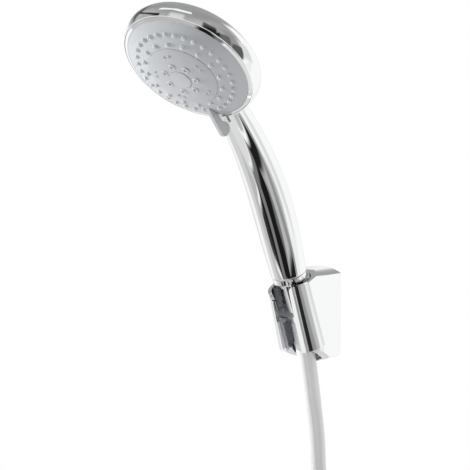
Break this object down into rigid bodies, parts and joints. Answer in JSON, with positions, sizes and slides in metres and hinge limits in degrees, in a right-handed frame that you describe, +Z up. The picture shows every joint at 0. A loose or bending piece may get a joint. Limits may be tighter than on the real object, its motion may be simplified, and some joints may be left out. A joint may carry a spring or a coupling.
{
  "type": "handheld shower head",
  "caption": "Chrome shower handset with a domed multi-spray face and thumb lever, held in a slotted wall cradle, with its smooth flexible hose.",
  "frame": {"origin": "middle of the two wall screw holes, on the wall face of the bracket", "axes": "+X to the right seen from the front, +Y into the wall, +Z up; the set stands out towards -Y"},
  "size_m": [0.1761, 0.2107, 0.5933],
  "materials": {
    "chrome_shell": "mirror",
    "chrome_trim": "mirror",
    "face_grey": "satin",
    "plate_grey": "satin",
    "lever_grey": "satin",
    "cap_grey": "satin",
    "nozzle_rubber": "matte",
    "jet_plastic": "satin",
    "liner_grey": "satin",
    "plate_plastic": "matte",
    "inner_white": "matte",
    "inner_black": "matte",
    "seal_rubber": "matte",
    "steel": "brushed",
    "brass": "plain",
    "hose_silver": "smooth gloss"
  },
  "bodies": {
    "bracket": {"wall_plate": "plate_plastic", "bracket_shell": "chrome_shell", "cradle_liner": "liner_grey", "lock_screw": "steel"},
    "handset": {"handset_shell": "chrome_shell", "head_trim_ring": "chrome_trim", "inlet_spigot": "brass", "inlet_filter": "inner_black", "water_tube": "inner_white", "water_manifold": "inner_black", "selector_seal": "seal_rubber", "detent_spring": "steel", "detent_pin": "steel", "face_screw": "steel", "hose_washer": "seal_rubber", "hose_top_ferrule": "steel", "hose_run": "hose_silver", "hose_coil": "hose_silver", "coil_tie": "plate_plastic", "hose_end_ferrule": "steel", "valve_washer": "seal_rubber"},
    "spray_selector": {"spray_face": "face_grey", "selector_lever": "lever_grey", "outer_nozzles": "nozzle_rubber", "inner_nozzles": "nozzle_rubber", "centre_plate": "plate_grey", "jet_insert": "jet_plastic", "mist_nozzles": "jet_plastic", "centre_cap": "cap_grey", "valve_plate": "inner_white", "face_seal": "seal_rubber"},
    "hose_nut": {"cone_nut": "chrome_trim"},
    "end_nut": {"valve_nut": "chrome_trim"}
  },
  "joints": [
    {"name": "handset_lift", "type": "slide", "parent": "bracket", "child": "handset", "axis": [0, -0.3827, 0.9239], "range_m": [0, 0.05]},
    {"name": "selector_turn", "type": "hinge", "parent": "handset", "child": "spray_selector", "pos_m": [0, -0.1752, 0.1887], "axis": [0, -0.6947, -0.7193], "range_deg": [-30, 30]},
    {"name": "hose_nut_spin", "type": "hinge", "parent": "handset", "child": "hose_nut", "pos_m": [0, -0.045, 0.0345], "axis": [0, -0.3827, 0.9239], "continuous": true},
    {"name": "valve_nut_spin", "type": "hinge", "parent": "handset", "child": "end_nut", "pos_m": [0.00204, -0.0537, -0.34608], "axis": [-1, 0, 0], "continuous": true}
  ]
}
